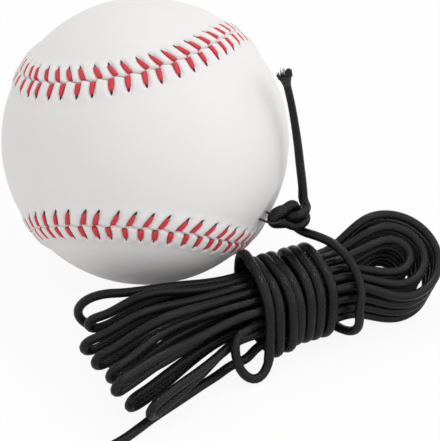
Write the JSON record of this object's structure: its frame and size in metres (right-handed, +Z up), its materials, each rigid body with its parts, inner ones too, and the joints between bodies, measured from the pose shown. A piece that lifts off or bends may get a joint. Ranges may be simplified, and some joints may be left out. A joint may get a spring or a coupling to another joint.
{
  "type": "baseball batting trainer",
  "caption": "White leather ball with red raised stitching, held by a small eye to a black elastic cord that is knotted at the ball and wound in a hank bound round its waist.",
  "frame": {"origin": "the point where the ball stands on the floor, under its middle", "axes": "+Z up through the ball's middle; the hank lies to the ball's right and front, +X right, -Y toward the front; the cord's sealed end points along -X"},
  "size_m": [0.1208, 0.1215, 0.073],
  "materials": {
    "leather": "satin",
    "stitching": "satin",
    "yarn": "matte",
    "wool": "matte",
    "rubber": "matte",
    "cork": "matte",
    "anchor_thread": "matte",
    "toggle": "matte",
    "cord": "matte",
    "cut_end": "matte",
    "sealed_end": "satin"
  },
  "bodies": {
    "ball": {"cork_core": "cork", "rubber_shell_lower": "rubber", "rubber_shell_upper": "rubber", "wool_winding_inner": "wool", "wool_winding_outer": "wool", "yarn_finish_winding": "yarn", "cover_panel_a": "leather", "cover_panel_b": "leather", "stitch_row_a": "stitching", "stitch_row_b": "stitching", "anchor_loop": "anchor_thread", "anchor_toggle": "toggle"},
    "tie": {"tie_loop": "cord", "tether_knot": "cord", "knot_tail": "cord", "tail_tip": "cut_end"},
    "hank": {"tether_lead": "cord", "waist_wraps": "cord", "hank_loops": "cord", "free_end": "cord", "cord_end": "sealed_end"}
  },
  "joints": [
    {"name": "tie_swing", "type": "hinge", "parent": "ball", "child": "tie", "pos_m": [0.03213, -0.02071, 0.02697], "axis": [0, 0, 1], "range_deg": [0, 10]},
    {"name": "hank_swing", "type": "hinge", "parent": "tie", "child": "hank", "pos_m": [0.03792, -0.01695, 0.02357], "axis": [0, 0, 1], "range_deg": [0, 60]}
  ]
}
